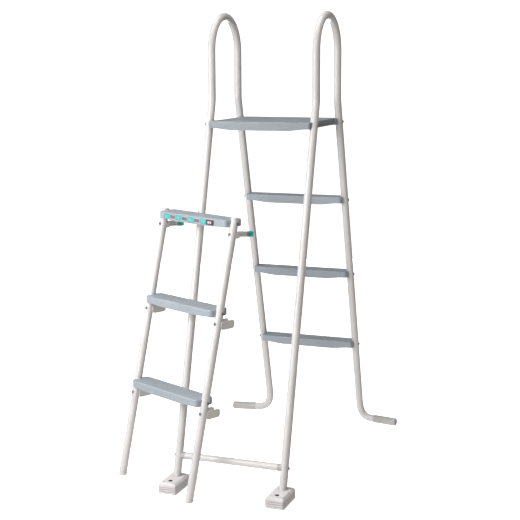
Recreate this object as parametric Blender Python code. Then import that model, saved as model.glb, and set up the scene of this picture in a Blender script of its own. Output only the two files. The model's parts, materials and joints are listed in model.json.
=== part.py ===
"""A-frame pool ladder with a lift-off outer ladder.

Two bent handrail tubes carry a moulded platform. Straight outer legs stand in foot
blocks, bent pool legs carry three moulded steps. A separate three-step ladder stands
beside the outer legs, with guides and latch arms that take hold of those legs.
Metres, +Z up, ground at z = 0, pool side towards +Y.
"""
import bpy
import bmesh
from math import cos, pi, radians, sin, tan
from mathutils import Vector

# Whole part: the a-frame's ground centre, measured from the bounding box centre.
A_FRAME_AT = Vector((0.04275, 0.06622, 0.0))
FIT_GAP = 0.0003

# Tubes
TUBE_R = 0.014
TUBE_WALL = 0.0015
TUBE_SIDES = 12
SEAT_SIDES = 16
BOLT_SIDES = 8

# A-frame
HALF_WIDTH = 0.196
HANDRAIL_R = 0.125
HANDRAIL_TOP = 1.6234
ELBOW_Z = 1.327
ELBOW_R = 0.10
SPLAY = radians(15.1)
JOINT_Z = 1.19
NECK_LENGTH = 0.034

# Platform and steps
PLATFORM_TOP = 1.2545
PLATFORM_HALF_DEPTH = 0.1745
LEVELS = ("lower", "middle", "upper")
STEP_TOPS = (0.3545, 0.6545, 0.9545)
STEP_FRONT = 0.0325
STEP_BACK = 0.0375
SKIRT_END = 0.024
SKIRT_MIDDLE = 0.031
BELLY_RUN = 0.085
TOP_SKIN = 0.004
SLAB_END_SETBACK = 0.002
SLAB_CORNER = 0.010
SLAB_EDGE = 0.004
OUTER_WALL = 0.0035
RIB = 0.0025
POCKET_END = 0.024
BOLT_DROP = 0.0125
WAIST_HALF = 0.120
WAIST_DEPTH = 0.013
LIP_DEPTH = 0.009
LIP_HEIGHT = 0.009

# Crossbar between the outer legs
CROSSBAR_R = 0.012
CROSSBAR_Z = 0.107
CROSSBAR_HALF = 0.172
SADDLE_LENGTH = 0.017

# Foot blocks
BLOCK_HALF_WIDTH = 0.034
BLOCK_FRONT = -0.562
BLOCK_BACK = -0.437
BLOCK_HEIGHT = 0.038
BLOCK_HOLE_Y = -0.530
BLOCK_HOLE_R = 0.0065
BLOCK_HOLE_FLOOR = 0.006
LEG_END_Z = 0.0125

# Pool feet
FOOT_TURN = radians(10.0)
FOOT_REACH = 0.163
FOOT_Y = 0.469
FOOT_BEND_Z = 0.085
FOOT_LANDING = 0.053
FOOT_CURVE = 0.042
CAP_R = 0.0152
CAP_LENGTH = 0.098
CAP_TIP = 0.012

# Lift-off ladder, in its own frame: x across, y away from its user, z up
LADDER_AT = Vector((-0.2625, -0.5185, 0.0))
LADDER_TURN = radians(-25.75)
LADDER_LEAN = radians(13.19)
RAIL_HALF = 0.1854
RAIL_TOP_Z = 0.941
RAIL_FOOT_Z = 0.012
RUNG_TOPS = (0.3431, 0.6410, 0.9389)
RUNG_FRONT = 0.036
RUNG_BACK = 0.041
RUNG_CORNER = 0.014
RUNG_SKIRT = 0.028
RUNG_END_SETBACK = 0.003
BRACKET_DROP = 0.047

# Guides and latch arms
BRACKET_FRONT = 0.003
GUIDE_HALF_HEIGHT = 0.0145
GUIDE_HALF_WIDTH = 0.0168
GUIDE_CORNER = 0.010
GUIDE_REACH = 0.062
MOUTH_START = 0.023
MOUTH_HALF_WIDTH = TUBE_R + FIT_GAP
LATCH_PIN = 0.071
LATCH_R = 0.009
LATCH_END = 0.092
ARM_ROOT_END = 0.0205
ARM_ROOT_HALF = 0.0150
ARM_HALF = 0.0072
TONGUE_R = 0.0068
TONGUE_HALF = 0.0030
SLOT_HALF = 0.0036
PIN_R = 0.002
PIN_HEAD_R = 0.0030

# Bolts
SHANK_R = 0.003
HEAD_R = 0.0052
HEAD_HEIGHT = 0.0034
STEP_BOLT = 0.046
CROSSBAR_BOLT = 0.052
BRACKET_BOLT = 0.0345
TUBE_HOLE = 2 * TUBE_R + 0.006
STEP_HOLE = STEP_BOLT + 0.002
CROSSBAR_HOLE = 0.070
BRACKET_HOLE = 0.060


def clear_scene():
    for obj in list(bpy.data.objects):
        bpy.data.objects.remove(obj)


def material(name, colour, roughness, metallic=0.0):
    mat = bpy.data.materials.new(name)
    mat.use_nodes = True
    shader = mat.node_tree.nodes["Principled BSDF"]
    shader.inputs["Base Color"].default_value = (*colour, 1.0)
    shader.inputs["Roughness"].default_value = roughness
    shader.inputs["Metallic"].default_value = metallic
    mat.diffuse_color = (*colour, 1.0)
    return mat


def make_object(name, bodies, mat=None, parent=None, at=(0, 0, 0)):
    """One object from bodies, each a chain of equal rings; the pair says if it closes on itself."""
    bm = bmesh.new()
    for rings, closed in bodies:
        loops = [[bm.verts.new(point) for point in ring] for ring in rings]
        pairs = list(zip(loops, loops[1:]))
        if closed:
            pairs.append((loops[-1], loops[0]))
        else:
            bm.faces.new(loops[0])
            bm.faces.new(loops[-1])
        for low, high in pairs:
            for i in range(len(low)):
                j = (i + 1) % len(low)
                bm.faces.new((low[i], low[j], high[j], high[i]))
    bmesh.ops.recalc_face_normals(bm, faces=bm.faces)
    mesh = bpy.data.meshes.new(name)
    bm.to_mesh(mesh)
    bm.free()
    mesh.shade_smooth()
    mesh.set_sharp_from_angle(angle=radians(35))
    obj = bpy.data.objects.new(name, mesh)
    bpy.context.scene.collection.objects.link(obj)
    obj.location = at
    obj.parent = parent
    if mat:
        mesh.materials.append(mat)
    return obj


def empty(name, at, turn=0.0, parent=None):
    obj = bpy.data.objects.new(name, None)
    bpy.context.scene.collection.objects.link(obj)
    obj.location = at
    obj.rotation_euler.z = turn
    obj.parent = parent
    return obj


def cut(obj, name, bodies):
    """Cuts closed bodies, in the object's own frame, out of the object."""
    cutter = make_object(name, bodies, parent=obj)
    cutter.hide_render = True
    cutter.display_type = "WIRE"
    boolean = obj.modifiers.new(name, "BOOLEAN")
    boolean.operation = "DIFFERENCE"
    boolean.solver = "EXACT"
    boolean.object = cutter


def rings_along(path, radius, sides):
    """Round rings on a path, carried along it without twisting."""
    points = [Vector(point) for point in path]
    heading = (points[1] - points[0]).normalized()
    guide = Vector((0, 0, 1)) if abs(heading.x) > 0.9 else Vector((1, 0, 0))
    side = (guide - guide.dot(heading) * heading).normalized()
    rings = []
    for i, point in enumerate(points):
        before = points[max(i - 1, 0)]
        after = points[min(i + 1, len(points) - 1)]
        turned = (after - before).normalized()
        side = heading.rotation_difference(turned) @ side
        heading = turned
        other = heading.cross(side)
        angles = [2 * pi * k / sides for k in range(sides)]
        rings.append([point + radius * (cos(a) * side + sin(a) * other) for a in angles])
    return rings


def tube(path, radius=TUBE_R):
    outer = rings_along(path, radius, TUBE_SIDES)
    inner = rings_along(path, radius - TUBE_WALL, TUBE_SIDES)
    return outer + inner[::-1], True


def necked_tube(path):
    """Tube whose first end is swaged down to slide inside the tube above it."""
    neck_r = TUBE_R - TUBE_WALL - FIT_GAP
    up = (path[0] - path[1]).normalized()
    neck_end = path[0] + NECK_LENGTH * up
    shoulder = path[0] - 2 * TUBE_WALL * up
    outer_neck = rings_along((neck_end, path[0]), neck_r, TUBE_SIDES)
    inner_neck = rings_along((shoulder, neck_end), neck_r - TUBE_WALL, TUBE_SIDES)
    outer = rings_along(path, TUBE_R, TUBE_SIDES)
    inner = rings_along((shoulder, *path[1:]), TUBE_R - TUBE_WALL, TUBE_SIDES)
    return outer_neck + outer + inner[::-1] + inner_neck, True


def rod(start, end, radius, sides=TUBE_SIDES):
    return rings_along((start, end), radius, sides), False


def turned(at, heading, profile, sides=TUBE_SIDES):
    """A turned body: profile pairs are (distance along the heading, radius)."""
    at = Vector(at)
    heading = Vector(heading).normalized()
    rings = []
    for distance, radius in profile:
        centre = at + distance * heading
        rings += rings_along((centre, centre + heading), radius, sides)[:1]
    return rings, False


def block(low, high):
    (x0, y0, z0), (x1, y1, z1) = low, high
    ring = [(x0, y0), (x1, y0), (x1, y1), (x0, y1)]
    return [[(x, y, z) for x, y in ring] for z in (z0, z1)], False


def bolt(at, heading, length):
    """Round-headed bolt whose head seats at the point and whose shank runs along the heading."""
    profile = ((-HEAD_HEIGHT, 0.4 * HEAD_R), (-0.75 * HEAD_HEIGHT, 0.8 * HEAD_R),
               (-0.2 * HEAD_HEIGHT, HEAD_R), (0.0, HEAD_R), (0.0, SHANK_R), (length, SHANK_R))
    return turned(at, heading, profile, BOLT_SIDES)


def bolt_hole(at, heading, length):
    at = Vector(at)
    heading = Vector(heading).normalized()
    return rod(at - 0.002 * heading, at + length * heading, SHANK_R + FIT_GAP, BOLT_SIDES)


def arc(centre, radius, start, end, steps):
    """Points (a, b) on a circle from angle start to angle end."""
    angles = [start + (end - start) * k / steps for k in range(steps + 1)]
    return [(centre[0] + radius * cos(a), centre[1] + radius * sin(a)) for a in angles]


def smooth(value):
    value = min(max(value, 0.0), 1.0)
    return value * value * (3 - 2 * value)


def leg_y(z):
    """Distance of a splayed leg's centre line from the middle plane at a height."""
    return HANDRAIL_R + (ELBOW_Z - z) * tan(SPLAY)


def leg_point(side, face, z):
    return Vector((side * HALF_WIDTH, face * leg_y(z), z))


def rail_point(side, z):
    """A point on a lift-off rail's centre line, in the lift-off ladder's frame."""
    return Vector((side * RAIL_HALF, z * tan(LADDER_LEAN), z))


def handrail_path(side):
    elbow_z = ELBOW_Z + ELBOW_R * tan(SPLAY / 2)
    elbow = arc((-HANDRAIL_R - ELBOW_R, elbow_z), ELBOW_R, -SPLAY, 0.0, 3)
    crown = arc((0.0, HANDRAIL_TOP - HANDRAIL_R), HANDRAIL_R, pi, 0.0, 16)
    outer = [(-leg_y(JOINT_Z), JOINT_Z)] + elbow
    pool = [(-y, z) for y, z in reversed(outer)]
    return [(side * HALF_WIDTH, y, z) for y, z in outer + crown + pool]


def pool_leg_path(side):
    """Straight splayed leg, a curve near the ground, then a foot lying outwards."""
    start = leg_point(side, 1, JOINT_Z - FIT_GAP)
    bend = leg_point(side, 1, FOOT_BEND_Z)
    down = (bend - start).normalized()
    out = Vector((side * cos(FOOT_TURN), -sin(FOOT_TURN), 0.0))
    corner = Vector((side * HALF_WIDTH, FOOT_Y, CAP_R))
    landing = corner + FOOT_LANDING * out
    path = [start]
    for k in range(8):
        t = k / 7
        path.append((1 - t) ** 3 * bend + 3 * (1 - t) ** 2 * t * (bend + FOOT_CURVE * down)
                    + 3 * (1 - t) * t ** 2 * (landing - FOOT_CURVE * out) + t ** 3 * landing)
    path.append(corner + (FOOT_REACH - CAP_TIP - FIT_GAP) * out)
    return path, corner + (FOOT_REACH - CAP_LENGTH) * out, out


def slab_section(x, front, back, top, skirt, edge):
    """Cross-section of a moulded slab: flat underside, upright faces, rounded top edges."""
    low = top - skirt
    front_edge = arc((front + edge, top - edge), edge, pi, pi / 2, 2)
    back_edge = arc((back - edge, top - edge), edge, pi / 2, 0.0, 2)
    points = [(front, low)] + front_edge + back_edge + [(back, low)]
    return [(x, y, z) for y, z in points]


def slab(half, front, back, top, corner=SLAB_CORNER, skirt_middle=SKIRT_MIDDLE):
    """Moulded slab lofted across its width: round corners in plan, skirt deeper in the middle."""
    stations = []
    for x, y in arc((half - corner, 0.0), corner, 0.0, pi / 2, 3):
        stations.append((x, corner - y, 0.0))
    for k in range(1, 5):
        stations.append((half - corner - k * BELLY_RUN / 4, 0.0, smooth(k / 4)))
    sections = []
    for x, pull, belly in stations:
        skirt = SKIRT_END + (skirt_middle - SKIRT_END) * belly
        drop = 0.0015 if x == half else 0.0
        sections.append((x, front + pull, back - pull, top - drop, skirt - drop, SLAB_EDGE))
    left = [slab_section(-s[0], *s[1:]) for s in sections]
    right = [slab_section(*s) for s in reversed(sections)]
    return left + right, False


def pockets(half, front, back, top, columns, rows):
    """Spaces between the ribs under a slab."""
    low, high = top - 0.05, top - TOP_SKIN
    width = 2 * half / columns
    depth = (back - front - 2 * OUTER_WALL + RIB) / rows
    bodies = []
    for column in range(columns):
        for row in range(rows):
            x = -half + column * width
            y = front + OUTER_WALL + row * depth
            bodies.append(block((x + RIB / 2, y, low), (x + width - RIB / 2, y + depth - RIB, high)))
    return bodies


def build_handrails(parent, mat):
    for label, side in (("left", -1), ("right", 1)):
        rail = make_object(f"{label}_handrail", [tube(handrail_path(side))], mat, parent)
        holes = [platform_bolt(side, face)[:2] for face in (-1, 1)]
        cut(rail, f"{label}_handrail_holes", [bolt_hole(at, way, TUBE_HOLE) for at, way in holes])


def platform_bolt(side, face):
    at = leg_point(side, face, PLATFORM_TOP - BOLT_DROP)
    at.x += side * (TUBE_R + FIT_GAP)
    return at, Vector((-side, 0, 0)), STEP_BOLT


def step_bolt(side, top):
    at = leg_point(side, 1, top - BOLT_DROP)
    at.x += side * (TUBE_R + FIT_GAP)
    return at, Vector((-side, 0, 0)), STEP_BOLT


def crossbar_bolt(side):
    at = leg_point(side, -1, CROSSBAR_Z)
    at.x += side * (TUBE_R + FIT_GAP)
    return at, Vector((-side, 0, 0)), CROSSBAR_BOLT


def build_legs(parent, mat):
    for label, side in (("left", -1), ("right", 1)):
        start = leg_point(side, -1, JOINT_Z - FIT_GAP)
        end = leg_point(side, -1, LEG_END_Z)
        leg = make_object(f"{label}_outer_leg", [necked_tube((start, end))], mat, parent)
        at, way, _ = crossbar_bolt(side)
        cut(leg, f"{label}_outer_leg_hole", [bolt_hole(at, way, TUBE_HOLE)])
        path = pool_leg_path(side)[0]
        leg = make_object(f"{label}_pool_leg", [necked_tube(path)], mat, parent)
        holes = [step_bolt(side, top) for top in STEP_TOPS]
        cut(leg, f"{label}_pool_leg_holes", [bolt_hole(at, way, TUBE_HOLE) for at, way, _ in holes])


def tube_notches(top, faces):
    """Cutters that seat a slab's ends against the splayed tubes."""
    return [rod(leg_point(side, face, top + 0.02), leg_point(side, face, top - 0.06),
                TUBE_R + FIT_GAP, SEAT_SIDES) for side in (-1, 1) for face in faces]


def build_platform(parent, mat):
    half = HALF_WIDTH - SLAB_END_SETBACK
    depth = PLATFORM_HALF_DEPTH
    low, lip, high = PLATFORM_TOP - 0.06, PLATFORM_TOP - LIP_HEIGHT, PLATFORM_TOP + 0.02
    obj = make_object("platform", [slab(half, -depth, depth, PLATFORM_TOP)], mat, parent)
    cut(obj, "platform_lips",
        [waist_cutter(side, side * half, LIP_DEPTH, low, high) for side in (-1, 1)])
    cut(obj, "platform_waists",
        [waist_cutter(side, side * half, WAIST_DEPTH, low, lip) for side in (-1, 1)])
    cut(obj, "platform_pockets", pockets(half - POCKET_END, -depth, depth, PLATFORM_TOP, 4, 3))
    cut(obj, "platform_notches", tube_notches(PLATFORM_TOP, (-1, 1)))
    bolts = [platform_bolt(side, face) for side in (-1, 1) for face in (-1, 1)]
    cut(obj, "platform_bolt_holes", [bolt_hole(at, way, STEP_HOLE) for at, way, _ in bolts])


def waist_cutter(side, x, depth, low, high):
    """Long shallow scoop that draws a platform side in between its tubes."""
    round_r = 0.9 * depth
    points = arc((0.0, -WAIST_HALF + round_r), round_r, -pi / 2, 0.0, 4)
    points += arc((0.0, WAIST_HALF - round_r), round_r, 0.0, pi / 2, 4)
    ring = [(x - side * (depth - round_r + a), b) for a, b in points]
    ring += [(x + side * 0.02, WAIST_HALF), (x + side * 0.02, -WAIST_HALF)]
    return [[(a, b, z) for a, b in ring] for z in (low, high)], False


def build_pool_steps(parent, mat):
    half = HALF_WIDTH - SLAB_END_SETBACK
    for label, top in zip(LEVELS, STEP_TOPS):
        front = leg_y(top) - STEP_FRONT
        back = leg_y(top) + STEP_BACK
        name = f"{label}_pool_step"
        obj = make_object(name, [slab(half, front, back, top)], mat, parent)
        cut(obj, f"{name}_pockets", pockets(half - POCKET_END, front, back, top, 6, 1))
        cut(obj, f"{name}_notches", tube_notches(top, (1,)))
        bolts = [step_bolt(side, top) for side in (-1, 1)]
        cut(obj, f"{name}_bolt_holes", [bolt_hole(at, way, STEP_HOLE) for at, way, _ in bolts])


def build_crossbar(parent, tube_mat, plug_mat):
    y = -leg_y(CROSSBAR_Z)
    ends = [(x * CROSSBAR_HALF, y, CROSSBAR_Z) for x in (-1, 1)]
    make_object("crossbar", [tube(ends, CROSSBAR_R)], tube_mat, parent)
    head, plug = CROSSBAR_R + 0.0006, CROSSBAR_R - TUBE_WALL - FIT_GAP
    profile = ((-0.026, plug - 0.001), (-0.024, plug), (FIT_GAP, plug), (FIT_GAP, head - 0.001),
               (0.0015, head), (SADDLE_LENGTH - 0.001, head), (SADDLE_LENGTH, head - 0.001))
    for label, side in (("left", -1), ("right", 1)):
        at = Vector((side * CROSSBAR_HALF, y, CROSSBAR_Z))
        name = f"{label}_crossbar_saddle"
        saddle = make_object(name, [turned(at, (side, 0, 0), profile)], plug_mat, parent)
        seat = [leg_point(side, -1, CROSSBAR_Z + offset) for offset in (-0.05, 0.05)]
        cut(saddle, f"{name}_seat", [rod(*seat, TUBE_R + FIT_GAP, SEAT_SIDES)])
        at, way, _ = crossbar_bolt(side)
        cut(saddle, f"{name}_hole", [bolt_hole(at, way, CROSSBAR_HOLE)])


def rounded_rectangle(low, high, corner, z):
    """Level outline with round corners, from its low corner to its high corner."""
    (x0, y0), (x1, y1) = low, high
    ring = arc((x1 - corner, y1 - corner), corner, 0.0, pi / 2, 3)
    ring += arc((x0 + corner, y1 - corner), corner, pi / 2, pi, 3)
    ring += arc((x0 + corner, y0 + corner), corner, pi, 1.5 * pi, 3)
    ring += arc((x1 - corner, y0 + corner), corner, 1.5 * pi, 2 * pi, 3)
    return [(x, y, z) for x, y in ring]


def build_foot_blocks(parent, mat):
    # Height and inset of each level: base flange, groove, body, chamfered top.
    levels = ((0.0, 0.0010), (0.0012, 0.0), (0.0085, 0.0), (0.0085, 0.0020), (0.0110, 0.0020),
              (0.0110, 0.0), (0.0310, 0.0012), (BLOCK_HEIGHT - 0.001, 0.0062), (BLOCK_HEIGHT, 0.0075))
    for label, side in (("left", -1), ("right", 1)):
        x0, x1 = side * HALF_WIDTH - BLOCK_HALF_WIDTH, side * HALF_WIDTH + BLOCK_HALF_WIDTH
        body = [rounded_rectangle((x0 + inset, BLOCK_FRONT + inset), (x1 - inset, BLOCK_BACK - inset),
                                  0.006, z) for z, inset in levels]
        obj = make_object(f"{label}_foot_block", [(body, False)], mat, parent)
        down = (leg_point(side, -1, 0.0) - leg_point(side, -1, 1.0)).normalized()
        bottom = leg_point(side, -1, LEG_END_Z) + 2 * FIT_GAP * down
        cut(obj, f"{label}_foot_block_socket",
            [rod(bottom, bottom - 0.08 * down, TUBE_R + 2 * FIT_GAP, SEAT_SIDES)])
        hole = Vector((side * HALF_WIDTH, BLOCK_HOLE_Y, BLOCK_HOLE_FLOOR))
        cut(obj, f"{label}_foot_block_hole", [rod(hole, hole + Vector((0, 0, 0.06)), BLOCK_HOLE_R)])


def build_foot_caps(parent, mat):
    bore = TUBE_R + FIT_GAP
    profile = ((CAP_LENGTH - CAP_TIP, bore), (0.0, bore), (0.0, CAP_R - 0.0006), (0.001, CAP_R),
               (CAP_LENGTH - 0.006, CAP_R), (CAP_LENGTH - 0.0018, CAP_R - 0.0022),
               (CAP_LENGTH, CAP_R - 0.0065))
    for label, side in (("left", -1), ("right", 1)):
        _, root, out = pool_leg_path(side)
        cap = turned(root, out, profile, SEAT_SIDES)
        make_object(f"{label}_pool_foot_cap", [cap], mat, parent)


def build_a_frame_bolts(parent, mat):
    for label, side in (("left", -1), ("right", 1)):
        for place, face in (("outer", -1), ("pool", 1)):
            item = platform_bolt(side, face)
            make_object(f"{label}_{place}_platform_bolt", [bolt(*item)], mat, parent)
        for level, top in zip(LEVELS, STEP_TOPS):
            make_object(f"{level}_{label}_pool_step_bolt", [bolt(*step_bolt(side, top))], mat, parent)
        make_object(f"{label}_crossbar_bolt", [bolt(*crossbar_bolt(side))], mat, parent)


def rung_bolt(side, top):
    at = rail_point(side, top - BOLT_DROP)
    at.x += side * (TUBE_R + FIT_GAP)
    return at, Vector((-side, 0, 0)), STEP_BOLT


def bracket_bolt(side, top):
    """Bolt from the front of a rail, square to it, into the bracket behind."""
    back = Vector((0, cos(LADDER_LEAN), -sin(LADDER_LEAN)))
    at = rail_point(side, top - BRACKET_DROP - TUBE_R * sin(LADDER_LEAN))
    return at - (TUBE_R + FIT_GAP) * back, back, BRACKET_BOLT


def build_rails(parent, tube_mat, plug_mat):
    up = Vector((0, sin(LADDER_LEAN), cos(LADDER_LEAN)))
    plug = TUBE_R - TUBE_WALL - FIT_GAP
    for label, side in (("left", -1), ("right", 1)):
        ends = rail_point(side, RAIL_FOOT_Z), rail_point(side, RAIL_TOP_Z)
        rail = make_object(f"{label}_ladder_rail", [tube(ends)], tube_mat, parent)
        bolts = [maker(side, top) for maker in (rung_bolt, bracket_bolt) for top in RUNG_TOPS]
        cut(rail, f"{label}_ladder_rail_holes", [bolt_hole(at, way, TUBE_HOLE) for at, way, _ in bolts])
        cap = ((-0.012, plug - 0.001), (-0.010, plug), (FIT_GAP, plug), (FIT_GAP, TUBE_R),
               (0.003, TUBE_R), (0.0055, TUBE_R - 0.002), (0.0068, TUBE_R - 0.006))
        make_object(f"{label}_rail_top_cap", [turned(ends[1], up, cap)], plug_mat, parent)
        foot = ((0.020, plug - 0.001), (0.018, plug), (-FIT_GAP, plug), (-FIT_GAP, TUBE_R),
                (-0.04, TUBE_R))
        shoe = make_object(f"{label}_rail_foot", [turned(ends[0], up, foot)], plug_mat, parent)
        cut(shoe, f"{label}_rail_foot_ground", [block((side - 1, -1, -0.1), (side + 1, 1, 0.0))])


def build_ladder_steps(parent, mat):
    half = RAIL_HALF - RUNG_END_SETBACK
    for label, top in zip(LEVELS, RUNG_TOPS):
        middle = top * tan(LADDER_LEAN)
        front, back = middle - RUNG_FRONT, middle + RUNG_BACK
        name = f"{label}_ladder_step"
        obj = make_object(name, [slab(half, front, back, top, RUNG_CORNER, RUNG_SKIRT)], mat, parent)
        cut(obj, f"{name}_pockets", pockets(half - POCKET_END, front, back, top, 6, 1))
        rails = [rod(rail_point(side, top + 0.02), rail_point(side, top - 0.06), TUBE_R + FIT_GAP,
                     SEAT_SIDES) for side in (-1, 1)]
        cut(obj, f"{name}_notches", rails)
        bolts = [rung_bolt(side, top) for side in (-1, 1)]
        cut(obj, f"{name}_bolt_holes", [bolt_hole(at, way, STEP_HOLE) for at, way, _ in bolts])


def bracket_origin(side, top):
    """Where the bracket's level centre line crosses the rail's centre line."""
    return rail_point(side, top - BRACKET_DROP - 2 * TUBE_R * sin(LADDER_LEAN))


def build_guides(parent, mat):
    """Forked guides behind the rails: two cheeks with rounded ends, open to the rear."""
    height, inner = GUIDE_HALF_HEIGHT, GUIDE_HALF_HEIGHT - GUIDE_CORNER
    outline = [(BRACKET_FRONT, -height), (BRACKET_FRONT, height)]
    outline += arc((GUIDE_REACH - GUIDE_CORNER, inner), GUIDE_CORNER, pi / 2, 0.0, 4)
    outline += arc((GUIDE_REACH - GUIDE_CORNER, -inner), GUIDE_CORNER, 0.0, -pi / 2, 4)
    for level, top in zip(LEVELS[:2], RUNG_TOPS):
        for label, side in (("left", -1), ("right", 1)):
            at = bracket_origin(side, top)
            cheeks = [[(x, y, z) for y, z in outline] for x in (-GUIDE_HALF_WIDTH, GUIDE_HALF_WIDTH)]
            name = f"{level}_{label}_guide"
            guide = make_object(name, [(cheeks, False)], mat, parent, at)
            seat = [rail_point(side, at.z + offset) - at for offset in (-0.05, 0.05)]
            cut(guide, f"{name}_seat", [rod(*seat, TUBE_R + FIT_GAP, SEAT_SIDES)])
            cut(guide, f"{name}_mouth", [block((-MOUTH_HALF_WIDTH, MOUTH_START, -0.03),
                                               (MOUTH_HALF_WIDTH, 0.08, 0.03))])
            hole_at, back, _ = bracket_bolt(side, top)
            cut(guide, f"{name}_hole", [bolt_hole(hole_at - at, back, BRACKET_HOLE)])


def arm_section(y, half_x, centre_z, half_z):
    edge = 0.0012
    ring = [(half_x, half_z - edge), (half_x - edge, half_z), (edge - half_x, half_z),
            (-half_x, half_z - edge), (-half_x, edge - half_z), (edge - half_x, -half_z),
            (half_x - edge, -half_z), (half_x, edge - half_z)]
    return [(x, y, centre_z + z) for x, z in ring]


def arm_centre(y):
    """Height of the arched arm above its root, a shallow hump that falls to the latch."""
    return 0.0022 - 2.4 * (y - 0.030) ** 2


def build_latch_arms(parent, arm_mat, latch_mat, pin_mat):
    for label, side in (("left", -1), ("right", 1)):
        at = bracket_origin(side, RUNG_TOPS[2])
        pin = Vector((0.0, LATCH_PIN, arm_centre(LATCH_PIN)))
        knuckle = LATCH_PIN - LATCH_R - 0.001
        sections = [arm_section(y, ARM_ROOT_HALF, arm_centre(y), LATCH_R + 0.001)
                    for y in (BRACKET_FRONT, ARM_ROOT_END)]
        for k in range(5):
            y = ARM_ROOT_END + k / 4 * (knuckle - ARM_ROOT_END)
            sections.append(arm_section(y, ARM_HALF, arm_centre(y), LATCH_R))
        sections.append(arm_section(knuckle, TONGUE_HALF, pin.z, TONGUE_R))
        sections += [arm_section(y, TONGUE_HALF, pin.z, z)
                     for y, z in arc((LATCH_PIN, 0.0), TONGUE_R, pi / 2, 0.45, 3)]
        name = f"{label}_latch_arm"
        arm = make_object(name, [(sections, False)], arm_mat, parent, at)
        seat = [rail_point(side, at.z + offset) - at for offset in (-0.05, 0.05)]
        cut(arm, f"{name}_seat", [rod(*seat, TUBE_R + FIT_GAP, SEAT_SIDES)])
        hole_at, back, _ = bracket_bolt(side, RUNG_TOPS[2])
        cut(arm, f"{name}_hole", [bolt_hole(hole_at - at, back, BRACKET_HOLE)])
        reach = Vector((0.02, 0, 0))
        cut(arm, f"{name}_pin_hole", [rod(pin - reach, pin + reach, PIN_R + FIT_GAP, BOLT_SIDES)])

        pivot = empty(f"{label}_latch_pivot", at + pin, parent=parent)
        front = arc((0.0, 0.0), LATCH_R, pi / 2, 3 * pi / 2, 6)
        tip = LATCH_END - LATCH_PIN
        outline = front + [(tip - 0.002, -LATCH_R), (tip, -LATCH_R + 0.002),
                           (tip, LATCH_R - 0.003), (tip - 0.003, LATCH_R)]
        rings = [[(x, y, z) for y, z in outline] for x in (-ARM_HALF, ARM_HALF)]
        name = f"{label}_latch"
        latch = make_object(name, [(rings, False)], latch_mat, pivot)
        cut(latch, f"{name}_slot", [block((-SLOT_HALF, -0.02, -0.02),
                                             (SLOT_HALF, TONGUE_R + 0.002, 0.02))])
        cut(latch, f"{name}_pin_hole", [rod(-reach, reach, PIN_R + FIT_GAP, BOLT_SIDES)])
        seat, shoulder, end = ARM_HALF + FIT_GAP, ARM_HALF + 0.0014, ARM_HALF + 0.0020
        half_profile = [(seat, PIN_R), (seat, PIN_HEAD_R), (shoulder, PIN_HEAD_R),
                        (end, PIN_HEAD_R - 0.0008)]
        profile = [(-x, r) for x, r in reversed(half_profile)] + half_profile
        pin_body = turned(at + pin, (1, 0, 0), profile, BOLT_SIDES)
        make_object(f"{label}_latch_pin", [pin_body], pin_mat, parent)


def build_ladder_bolts(parent, mat):
    for label, side in (("left", -1), ("right", 1)):
        for level, top in zip(LEVELS, RUNG_TOPS):
            step = bolt(*rung_bolt(side, top))
            bracket = bolt(*bracket_bolt(side, top))
            make_object(f"{level}_{label}_ladder_step_bolt", [step], mat, parent)
            make_object(f"{level}_{label}_bracket_bolt", [bracket], mat, parent)


def main():
    clear_scene()
    coat = material("cream_powder_coat", (0.83, 0.81, 0.77), 0.38)
    plastic = material("blue_grey_plastic", (0.33, 0.40, 0.50), 0.55)
    block_plastic = material("pale_block_plastic", (0.66, 0.65, 0.70), 0.55)
    cap_rubber = material("grey_cap_plastic", (0.36, 0.34, 0.33), 0.6)
    bracket = material("grey_bracket_plastic", (0.25, 0.23, 0.21), 0.55)
    turquoise = material("turquoise_plastic", (0.02, 0.48, 0.43), 0.35)
    steel = material("dark_steel", (0.16, 0.15, 0.14), 0.4, 1.0)

    a_frame = empty("a_frame", A_FRAME_AT)
    build_handrails(a_frame, coat)
    build_legs(a_frame, coat)
    build_platform(a_frame, plastic)
    build_pool_steps(a_frame, plastic)
    build_crossbar(a_frame, coat, bracket)
    build_foot_blocks(a_frame, block_plastic)
    build_foot_caps(a_frame, cap_rubber)
    build_a_frame_bolts(a_frame, steel)

    ladder = empty("lift_off_ladder", LADDER_AT, LADDER_TURN, a_frame)
    build_rails(ladder, coat, coat)
    build_ladder_steps(ladder, plastic)
    build_guides(ladder, bracket)
    build_latch_arms(ladder, bracket, turquoise, steel)
    build_ladder_bolts(ladder, steel)


main()
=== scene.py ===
"""Looks of an A-frame pool ladder with a lift-off outer ladder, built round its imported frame.

Each NODE_fine piece stands for one CAD node, and the label on the top step is a piece of its own.
Metres, +Z up, ground at z = 0. Sizes repeat those of the CAD model.
"""

import json
from math import atan2, cos, pi, radians, sin, tan

import bmesh
import bpy
from mathutils import Matrix, Vector


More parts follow.
